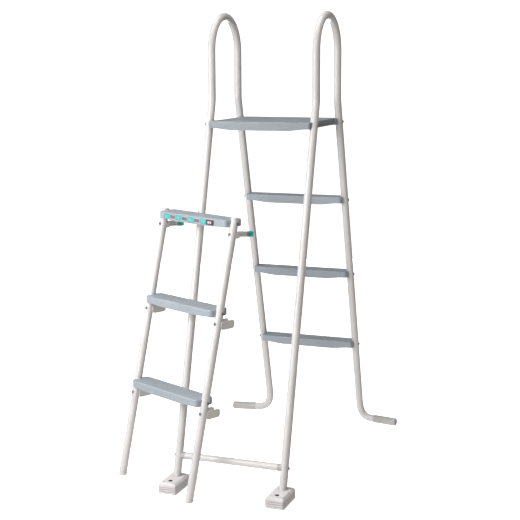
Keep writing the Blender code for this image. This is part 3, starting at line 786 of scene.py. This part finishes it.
def build_crossbar(place, coat, plug_plastic):
    y = -leg_y(CROSSBAR_Z)
    ends = [Vector((x * CROSSBAR_HALF, y, CROSSBAR_Z)) for x in (-1, 1)]
    piece("crossbar", [tube(ends, CROSSBAR_R)], coat, "a_frame", place)
    head, plug = CROSSBAR_R + 0.0006, CROSSBAR_R - TUBE_WALL - FIT_GAP
    profile = [(-0.026, plug - 0.001), (-0.024, plug), (FIT_GAP, plug), (FIT_GAP, head - 0.0008),
               (0.0006, head - 0.0002), (0.0015, head), (0.0050, head), (0.0055, head - 0.0005),
               (0.0065, head - 0.0005), (0.0070, head), (SADDLE_LENGTH - 0.001, head),
               (SADDLE_LENGTH - 0.0002, head - 0.0003), (SADDLE_LENGTH, head - 0.001)]
    for label, side in SIDES:
        at = Vector((side * CROSSBAR_HALF, y, CROSSBAR_Z))
        seat = [leg_point(side, -1, CROSSBAR_Z + offset) for offset in (-0.05, 0.05)]
        piece(f"{label}_crossbar_saddle", [turned(at, (side, 0, 0), profile)], plug_plastic, "a_frame",
              place, [[rod(*seat, TUBE_R + FIT_GAP)], holes([crossbar_bolt(side)], CROSSBAR_HOLE)])


def paint_hole_shade(obj, at, hole_shade):
    """Paints the wall, floor and rounded mouth of a block's peg hole near-black: painted shade in the
    hole.
    """
    obj.data.materials.append(hole_shade)
    for face in obj.data.polygons:
        away = Vector(face.center) - at
        wall = face.normal.z < 0.95 or face.center.z < BLOCK_HEIGHT / 2
        above_base = face.center.z > BLOCK_HOLE_FLOOR / 2
        if wall and above_base and away.xy.length < BLOCK_HOLE_R + 0.0022:
            face.material_index = 1


def build_foot_blocks(place, plastic, hole_shade):
    """Blocks with shadow grooves round the sides, a rounded shoulder and a sloped top edge."""
    # Each level: height, how far the outline is set in.
    levels = [(0.0, 0.0012), (0.0004, 0.0004), (0.0012, 0.0)]
    for low in GROOVES:
        high = low + GROOVE_HEIGHT
        levels += [(low - 0.0005, 0.0), (low - 0.0001, 0.0003), (low, GROOVE_DEPTH),
                   (high, GROOVE_DEPTH), (high + 0.0001, 0.0003), (high + 0.0005, 0.0)]
    levels += [(SHOULDER_Z, 0.0006)]
    levels += [(SHOULDER_Z + 0.0020 * sin(a), 0.0006 + 0.0016 * (1 - cos(a)))
               for a in quarter_turn(4)]
    levels += [(BLOCK_HEIGHT - 0.0006, 0.0066), (BLOCK_HEIGHT, 0.0078), (BLOCK_HEIGHT, 0.0105)]
    mouth = [(BLOCK_HOLE_FLOOR, BLOCK_HOLE_R), (BLOCK_HEIGHT - 0.0015, BLOCK_HOLE_R),
             (BLOCK_HEIGHT - 0.0004, BLOCK_HOLE_R + 0.0006),
             (BLOCK_HEIGHT + 0.0006, BLOCK_HOLE_R + 0.0020)]
    for label, side in SIDES:
        x = side * HALF_WIDTH
        rings = []
        for z, inset in levels:
            outline = rounded_rectangle((x - BLOCK_HALF_WIDTH + inset, BLOCK_FRONT + inset),
                                        (x + BLOCK_HALF_WIDTH - inset, BLOCK_BACK - inset),
                                        BLOCK_CORNER)
            rings.append([(a, b, z) for a, b in outline])
        down = (leg_point(side, -1, 0.0) - leg_point(side, -1, 1.0)).normalized()
        bottom = leg_point(side, -1, LEG_END_Z) + 2 * FIT_GAP * down
        socket = rod(bottom, bottom - 0.08 * down, TUBE_R + 2 * FIT_GAP)
        hole = Vector((x, BLOCK_HOLE_Y, 0.0))
        bore = turned(hole, (0, 0, 1), mouth)
        foot = piece(f"{label}_foot_block", [(rings, False)], plastic, "a_frame", place,
                     [[socket], [bore]])
        # Painted shade: the peg hole's wall, floor and mouth are coloured near-black.
        paint_hole_shade(foot, place @ hole, hole_shade)


def build_foot_caps(place, plastic):
    """Sleeves over the pool legs' ends, with two grip rings and a domed tip."""
    bore = TUBE_R + FIT_GAP
    profile = [(CAP_LENGTH - CAP_TIP, bore), (0.0, bore), (0.0, CAP_R - 0.0005), (0.0005, CAP_R)]
    for root in (0.006, CAP_LENGTH - 0.020):
        profile += [(root, CAP_R), (root + 0.0004, CAP_R - 0.0005), (root + 0.0016, CAP_R - 0.0005),
                    (root + 0.0020, CAP_R)]
    profile += [(CAP_LENGTH - CAP_DOME + CAP_DOME * sin(a), CAP_R - 0.0068 * (1 - cos(a)))
                for a in quarter_turn(10, 0)]
    profile += [(CAP_LENGTH, 0.0052), (CAP_LENGTH - 0.0010, 0.0046), (CAP_LENGTH - 0.0010, 0.0036),
                (CAP_LENGTH - 0.0004, 0.0030)]
    for label, side in SIDES:
        _, root, out = pool_leg_path(side)
        piece(f"{label}_pool_foot_cap", [turned(root, out, profile)], plastic, "a_frame", place)


def build_a_frame_bolts(place, steel):
    for label, side in SIDES:
        for spot, face in (("outer", -1), ("pool", 1)):
            piece(f"{label}_{spot}_platform_bolt", [bolt(*platform_bolt(side, face))], steel, "a_frame",
                  place)
        for level, top in zip(LEVELS, STEP_TOPS):
            piece(f"{level}_{label}_pool_step_bolt", [bolt(*step_bolt(side, top))], steel, "a_frame",
                  place)
        piece(f"{label}_crossbar_bolt", [bolt(*crossbar_bolt(side))], steel, "a_frame", place)


# -------- lift-off ladder

def build_rails(place, coat, plug_plastic):
    up = Vector((0, sin(LADDER_LEAN), cos(LADDER_LEAN)))
    plug = TUBE_R - TUBE_WALL - FIT_GAP
    cap = [(-0.012, plug - 0.001), (-0.010, plug), (FIT_GAP, plug), (FIT_GAP, TUBE_R - 0.0004),
           (0.0007, TUBE_R), (0.0024, TUBE_R)]
    cap += [(0.0024 + 0.0044 * sin(a), TUBE_R - 0.0075 * (1 - cos(a)))
            for a in quarter_turn(8)]
    foot = [(0.020, plug - 0.001), (0.018, plug), (-FIT_GAP, plug), (-FIT_GAP, TUBE_R - 0.0004),
            (-0.0007, TUBE_R), (-0.04, TUBE_R)]
    for label, side in SIDES:
        ends = rail_point(side, RAIL_FOOT_Z), rail_point(side, RAIL_TOP_Z)
        bolts = [maker(side, top) for maker in (rung_bolt, bracket_bolt) for top in RUNG_TOPS]
        piece(f"{label}_ladder_rail", [tube(ends)], coat, LADDER_BODY, place,
              [holes(bolts, TUBE_HOLE)])
        piece(f"{label}_rail_top_cap", [turned(ends[1], up, cap)], plug_plastic, LADDER_BODY, place)
        piece(f"{label}_rail_foot", [turned(ends[0], up, foot)], plug_plastic, LADDER_BODY, place,
              [[block((side - 1, -1, -0.1), (side + 1, 1, 0.0))]])


def build_ladder_steps(place, plastic):
    half = RAIL_HALF - RUNG_END_SETBACK
    for label, top in zip(LEVELS, RUNG_TOPS):
        middle = top * tan(LADDER_LEAN)
        front, back = middle - RUNG_FRONT, middle + RUNG_BACK
        rails = [rod(rail_point(side, top + 0.02), rail_point(side, top - 0.06), TUBE_R + FIT_GAP)
                 for side in (-1, 1)]
        bolts = [rung_bolt(side, top) for side in (-1, 1)]
        piece(f"{label}_ladder_step", [slab(half, front, back, top, RUNG_CORNER, RUNG_SKIRT)], plastic,
              LADDER_BODY, place, [pockets(half - POCKET_END, front, back, top, 6, 1), rails,
                                   holes(bolts, STEP_HOLE)])


def local(place, at):
    return place @ Matrix.Translation(at)


def bracket_cuts(side, top):
    """Cutters for a bracket, in its own frame: the rail that it seats on, and its bolt's hole."""
    at = bracket_origin(side, top)
    seat = [rail_point(side, at.z + offset) - at for offset in (-0.05, 0.05)]
    hole_at, back, _ = bracket_bolt(side, top)
    return [rod(*seat, TUBE_R + FIT_GAP)], [bolt_hole(hole_at - at, back, BRACKET_HOLE)]


def build_guides(place, plastic):
    """Forked guides behind the rails: two panelled cheeks with rounded ends, open to the rear."""
    low = (BRACKET_FRONT, -GUIDE_HALF_HEIGHT)
    high = (GUIDE_REACH, GUIDE_HALF_HEIGHT)
    body = panelled_plate(low, high, GUIDE_CORNER, GUIDE_HALF_WIDTH, GUIDE_EDGE, PANEL_DEPTH,
                          PANEL_BORDER)
    mouth_y = MOUTH_START + MOUTH_R
    opening = turned((0, mouth_y, -0.03), (0, 0, 1), [(0, MOUTH_R), (0.06, MOUTH_R)])
    slot = block((-MOUTH_R, mouth_y, -0.03), (MOUTH_R, 0.08, 0.03))
    for level, top in zip(LEVELS[:2], RUNG_TOPS):
        for label, side in SIDES:
            seat, bolt_way = bracket_cuts(side, top)
            at = local(place, bracket_origin(side, top))
            piece(f"{level}_{label}_guide", [body], plastic, LADDER_BODY, at,
                  [seat, [opening], [slot], bolt_way])


def arm_section(y, half_x, centre_z, half_z, channel=0.0):
    """Cross-section of an arm: round corners, and a channel sunk into both sides."""
    corner = min(0.0013, half_z * 0.4)
    quarter = arc((half_x - corner, half_z - corner), corner, 0.0, pi / 2, 4)
    flank = [(half_x - channel, 0.0), (half_x - channel, half_z * 0.46),
             (half_x, half_z * 0.46 + max(channel * 0.5, 0.0002))]
    right = [(x, z) for x, z in flank + quarter]
    ring = right + [(-x, z) for x, z in reversed(right)]
    ring += [(-x, -z) for x, z in right[1:]] + [(x, -z) for x, z in reversed(right[1:])]
    return [(x, y, centre_z + z) for x, z in ring]


def arm_centre(y):
    """Height of the arched arm above its root, a shallow hump that falls to the latch."""
    return 0.0022 - 2.4 * (y - 0.030) ** 2


def latch_arm_body():
    """Arm from the wide root behind the rail, along its arch, to the tongue inside the latch."""
    root_end, knuckle, steps = ARM_ROOT_END, LATCH_PIN - LATCH_R - 0.001, 16
    sections = [arm_section(y, ARM_ROOT_HALF, arm_centre(y), LATCH_R + rise)
                for y, rise in ((BRACKET_FRONT, 0.001), (0.012, 0.001), (root_end - 0.0008, 0.0006))]
    sections += [arm_section(root_end, half_x, arm_centre(root_end), LATCH_R - 0.0002)
                 for half_x in (ARM_ROOT_HALF - 0.0008, ARM_HALF)]
    for k in range(1, steps + 1):
        y = root_end + k / steps * (knuckle - root_end)
        sunk = ARM_CHANNEL * smooth(min(k, steps - k) / 1.5)
        sections.append(arm_section(y, ARM_HALF, arm_centre(y), LATCH_R, sunk))
    centre = arm_centre(LATCH_PIN)
    sections.append(arm_section(knuckle, TONGUE_HALF, centre, TONGUE_R))
    for k in range(9):
        a = k / 8 * 1.35
        sections.append(arm_section(LATCH_PIN + TONGUE_R * sin(a), TONGUE_HALF, centre,
                                    TONGUE_R * cos(a)))
    return sections, False


def latch_body():
    """Finger tab: round at its hinge, flat above, with eased sides and three grip ribs."""
    tip = LATCH_END - LATCH_PIN
    half = ARM_HALF
    rings = []
    for x, inset in ((-half, 0.0010), (-half + 0.0003, 0.0003), (-half + 0.0010, 0.0),
                     (half - 0.0010, 0.0), (half - 0.0003, 0.0003), (half, 0.0010)):
        r = LATCH_R - inset
        outline = arc((0.0, 0.0), r, pi / 2, 1.5 * pi, 18)
        outline += arc((tip - inset - 0.0025, -r + 0.0025), 0.0025, -pi / 2, 0.0, 5)
        outline += arc((tip - inset - 0.0030, r - 0.0030), 0.0030, 0.0, pi / 2, 5)
        for k in (2, 1, 0):
            y = 0.0045 + k * 0.0042
            outline += [(y + 0.0026, r), (y + 0.0020, r - 0.0007), (y + 0.0008, r - 0.0007), (y, r)]
        rings.append([(x, y, z) for y, z in outline])
    return rings, False


def build_latches(place, arm_plastic, latch_plastic, steel):
    reach = Vector((0.02, 0, 0))
    head, seat_x = PIN_HEAD_R, ARM_HALF + FIT_GAP
    half_profile = [(seat_x, PIN_R), (seat_x, head - 0.0002), (seat_x + 0.0002, head),
                    (seat_x + 0.0011, head), (seat_x + 0.0015, head - 0.0003),
                    (seat_x + 0.0017, head - 0.0009)]
    profile = [(-x, r) for x, r in reversed(half_profile)] + half_profile
    pin = Vector((0.0, LATCH_PIN, arm_centre(LATCH_PIN)))
    slot = block((-SLOT_HALF, -0.02, -0.02), (SLOT_HALF, TONGUE_R + 0.002, 0.02))
    for label, side in SIDES:
        at = bracket_origin(side, RUNG_TOPS[2])
        seat, bolt_way = bracket_cuts(side, RUNG_TOPS[2])
        pin_place = local(place, at + pin)
        piece(f"{label}_latch_arm", [latch_arm_body()], arm_plastic, LADDER_BODY, local(place, at),
              [seat, bolt_way, [rod(pin - reach, pin + reach, PIN_R + FIT_GAP, SMALL_SIDES)]])
        piece(f"{label}_latch", [latch_body()], latch_plastic, f"{label}_latch", pin_place,
              [[slot], [rod(-reach, reach, PIN_R + FIT_GAP, SMALL_SIDES)]])
        piece(f"{label}_latch_pin", [turned((0, 0, 0), (1, 0, 0), profile, SMALL_SIDES)], steel,
              LADDER_BODY, pin_place)


def build_ladder_bolts(place, steel):
    for label, side in SIDES:
        for level, top in zip(LEVELS, RUNG_TOPS):
            piece(f"{level}_{label}_ladder_step_bolt", [bolt(*rung_bolt(side, top))], steel,
                  LADDER_BODY, place)
            piece(f"{level}_{label}_bracket_bolt", [bolt(*bracket_bolt(side, top))], steel,
                  LADDER_BODY, place)


def build_label(place):
    """Strip of plain coloured panels on the front of the top step."""
    films = {
        "strip": printed_film("label_strip", (0.33, 0.33, 0.38), (0.42, 0.41, 0.46)),
        "turquoise": printed_film("label_turquoise", (0.05, 0.33, 0.315), (0.09, 0.42, 0.40)),
        "pale": printed_film("label_pale", (0.10, 0.40, 0.39), (0.22, 0.50, 0.48), 400.0),
        "grey": printed_film("label_grey", (0.09, 0.075, 0.085), (0.24, 0.21, 0.24), 500.0),
        "dark": printed_film("label_dark", (0.025, 0.018, 0.025), (0.06, 0.03, 0.045)),
        "rose": printed_film("label_rose", (0.62, 0.40, 0.42), (0.78, 0.62, 0.63), 500.0),
    }
    top = RUNG_TOPS[2]
    front = top * tan(LADDER_LEAN) - RUNG_FRONT
    middle = top - LABEL_DROP
    # Each panel: film, left and right, share of the strip's height, layer.
    panels = []
    x = LABEL_LEFT
    for k in range(4):
        panels.append(("turquoise", x, x + TURQUOISE_WIDE, 1.0, 1))
        panels.append(("pale", x + 0.008, x + 0.019, 0.55, 2))
        x += TURQUOISE_WIDE
        if k < 3:
            panels.append(("grey", x + 0.002, x + GREY_WIDE - 0.002, 0.62, 1))
            x += GREY_WIDE
    panels.append(("dark", x, x + DARK_WIDE, 1.0, 1))
    for k in range(2):
        panels.append(("rose", x + 0.007 + k * 0.011, x + 0.015 + k * 0.011, 0.5, 2))
    right = x + DARK_WIDE
    strip = [("strip", LABEL_LEFT - 0.0005, right + 0.0005, 1.02, 0)]
    bodies = []
    for _, x0, x1, height, layer in strip + panels:
        z = LABEL_HALF_HEIGHT * height
        face = front - FIT_GAP - LABEL_THICK - layer * PRINT_STEP
        back = front - FIT_GAP - (LABEL_THICK - 0.0001 if layer else 0.0)
        rings = []
        for y, inset in ((back, 0.0), (face + 0.00005, 0.0), (face, PRINT_STEP)):
            low, high = (x0 + inset, middle - z + inset), (x1 - inset, middle + z - inset)
            outline = rounded_rectangle(low, high, 0.0010, 3)
            rings.append([(a, y, b) for a, b in outline])
        bodies.append((rings, False))
    mesh = mesh_of("label", bodies)
    for name, *_ in strip + panels:
        mesh.materials.append(films[name])
    mesh.transform(place)
    obj = new_object("step_label", mesh, Matrix.Identity(4))
    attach(obj, LADDER_BODY)


# -------- stage, light and camera

def build_stage(centre):
    """Pale floor that curves up into a round back wall. It shows, but throws no light back."""
    sides, curve = FLOOR_SIDES, FLOOR_CURVE
    profile = [(0.05, 0.0), (1.5, 0.0), (3.0, 0.0)]
    profile += [(FLOOR_FLAT + curve * sin(a), curve - curve * cos(a)) for a in quarter_turn(24, 0)]
    profile += [(FLOOR_FLAT + curve, WALL_TOP)]
    around = [2 * pi * k / sides for k in range(sides)]
    rings = [[(r * cos(a), r * sin(a), z) for a in around] for r, z in profile]
    bm = bmesh.new()
    loops = [[bm.verts.new(point) for point in ring] for ring in rings]
    bm.faces.new(loops[0])
    for low, high in zip(loops, loops[1:]):
        for k in range(sides):
            bm.faces.new((low[k], high[k], high[(k + 1) % sides], low[(k + 1) % sides]))
    mesh = bpy.data.meshes.new("studio_floor")
    bm.to_mesh(mesh)
    bm.free()
    mesh.shade_smooth()
    material, tree, shader, at = start_material("white_paper", specular=0.1)
    cloud = noise(tree, at, scale=0.6)
    tone = ramp(tree, cloud, [(0.3, (0.90, 0.90, 0.90)), (0.7, (0.92, 0.92, 0.92))])
    link(tree, tone, shader.inputs["Base Color"])
    shader.inputs["Roughness"].default_value = 0.9
    shader.inputs["Emission Color"].default_value = (1.0, 1.0, 1.0, 1.0)
    length = tree.nodes.new("ShaderNodeVectorMath")
    length.operation = "LENGTH"
    link(tree, at, length.inputs[0])
    glow = remap(tree, length.outputs["Value"], FLOOR_GLOW, WALL_GLOW, GLOW_START, GLOW_END)
    link(tree, glow, shader.inputs["Emission Strength"])
    mesh.materials.append(material)
    floor = new_object("studio_floor", mesh, Matrix.Translation(centre))
    floor.visible_diffuse = False
    floor.visible_glossy = False
    floor.visible_shadow = False


def area_light(name, at, target, size, power):
    data = bpy.data.lights.new(name, "AREA")
    data.shape = "RECTANGLE"
    data.size, data.size_y = size, size
    data.energy = power
    obj = bpy.data.objects.new(name, data)
    bpy.context.scene.collection.objects.link(obj)
    obj.location = at
    obj.rotation_euler = (target - at).to_track_quat("-Z", "Y").to_euler()


def build_lights(centre):
    """The lamps, in a room that is pale on one side and dark on the other."""
    for name, at, aim, size, power in LAMPS:
        area_light(name, centre + Vector(at), centre + Vector(aim), size, power)
    world = bpy.data.worlds.new("soft_room")
    world.use_nodes = True
    tree = world.node_tree
    background = tree.nodes["Background"]
    direction = tree.nodes.new("ShaderNodeTexCoord").outputs["Generated"]
    facing = tree.nodes.new("ShaderNodeVectorMath")
    facing.operation = "DOT_PRODUCT"
    link(tree, direction, facing.inputs[0])
    facing.inputs[1].default_value = Vector(SKY_TOWARDS).normalized()
    share = remap(tree, facing.outputs["Value"], 0.0, 1.0, SKY_START, SKY_END)
    link(tree, ramp(tree, share, [(0.0, SKY_DARK), (1.0, SKY_BRIGHT)]), background.inputs["Color"])
    background.inputs["Strength"].default_value = 1.0
    bpy.context.scene.world = world


def build_camera(centre):
    """A long view from the front right, a little above the platform."""
    yaw, pitch, roll = CAMERA_YAW, CAMERA_PITCH, CAMERA_ROLL
    forward = Vector((sin(yaw) * cos(pitch), cos(yaw) * cos(pitch), sin(pitch)))
    level = Vector((cos(yaw), -sin(yaw), 0.0))
    upright = level.cross(forward)
    right = cos(roll) * level + sin(roll) * upright
    up = cos(roll) * upright - sin(roll) * level
    data = bpy.data.cameras.new("camera")
    data.sensor_width = CAMERA_SENSOR
    data.lens = CAMERA_LENS
    camera = bpy.data.objects.new("camera", data)
    bpy.context.scene.collection.objects.link(camera)
    turn = Matrix((right, up, -forward)).transposed().to_4x4()
    camera.matrix_world = Matrix.Translation(centre + Vector(CAMERA_AT)) @ turn
    bpy.context.scene.camera = camera


def main():
    centre = ground_centre()
    a_frame = Matrix.Translation(centre)
    ladder = ladder_place()

    coat = in_slot("powder_coat", powder_coat())
    rail_end = in_slot("rail_end_plastic", moulded_plastic(
        "cream_rail_plastic", dark=(0.56, 0.54, 0.525), light=(0.61, 0.59, 0.575),
        fleck=(0.46, 0.44, 0.425), roughness=(0.40, 0.52), grain=700.0, depth=0.00008))
    steps = in_slot("step_plastic", moulded_plastic(
        "blue_grey_plastic", dark=(0.278, 0.312, 0.345), light=(0.318, 0.350, 0.382),
        fleck=(0.42, 0.46, 0.51), roughness=(0.42, 0.58), grain=520.0, depth=0.00016,
        flow=(0.4, 1, 1)))
    # The platform takes a darker copy of the step plastic: painted shade on the same plastic as the
    # steps.
    shaded_deck = in_slot("step_plastic", moulded_plastic(
        "deck_painted_shade_plastic", dark=(0.222, 0.250, 0.276), light=(0.254, 0.280, 0.306),
        fleck=(0.31, 0.34, 0.37), roughness=(0.42, 0.58), grain=520.0, depth=0.00016,
        flow=(0.4, 1, 1)))
    blocks = in_slot("foot_block_plastic", moulded_plastic(
        "pale_block_plastic", dark=(0.58, 0.553, 0.554), light=(0.68, 0.653, 0.654),
        fleck=(0.34, 0.31, 0.31), roughness=(0.45, 0.62), grain=420.0, depth=0.00018))
    caps = in_slot("foot_cap_plastic", moulded_plastic(
        "grey_cap_plastic", dark=(0.40, 0.382, 0.368), light=(0.48, 0.462, 0.448),
        fleck=(0.29, 0.27, 0.26), roughness=(0.48, 0.64), grain=640.0, depth=0.00012))
    brackets = in_slot("bracket_plastic", moulded_plastic(
        "grey_bracket_plastic", dark=(0.58, 0.555, 0.53), light=(0.66, 0.635, 0.605),
        fleck=(0.74, 0.71, 0.68), roughness=(0.42, 0.60), grain=760.0, depth=0.00012))
    # Near-black plastic that paints shade into the foot blocks' peg holes.
    hole_shade = moulded_plastic(
        "painted_hole_shade", dark=(0.020, 0.019, 0.018), light=(0.035, 0.033, 0.031),
        fleck=(0.05, 0.05, 0.05), roughness=(0.60, 0.75), grain=600.0, depth=0.0001)
    turquoise = in_slot("turquoise_latch", gloss_plastic(
        "turquoise_plastic", dark=(0.05, 0.39, 0.35), light=(0.09, 0.53, 0.48)))
    steel = in_slot("dark_bolts", dark_steel())

    build_camera(centre)
    build_tubes(a_frame, coat)
    build_platform(a_frame, shaded_deck)
    build_pool_steps(a_frame, steps)
    build_crossbar(a_frame, coat, caps)
    build_foot_blocks(a_frame, blocks, hole_shade)
    build_foot_caps(a_frame, caps)
    build_a_frame_bolts(a_frame, steel)
    build_rails(ladder, coat, rail_end)
    build_ladder_steps(ladder, steps)
    build_guides(ladder, brackets)
    build_latches(ladder, brackets, turquoise, steel)
    build_ladder_bolts(ladder, steel)
    build_label(ladder)
    build_stage(centre)
    build_lights(centre)


main()
bpy.context.scene.view_settings.view_transform = "Standard"
bpy.context.view_layer.update()
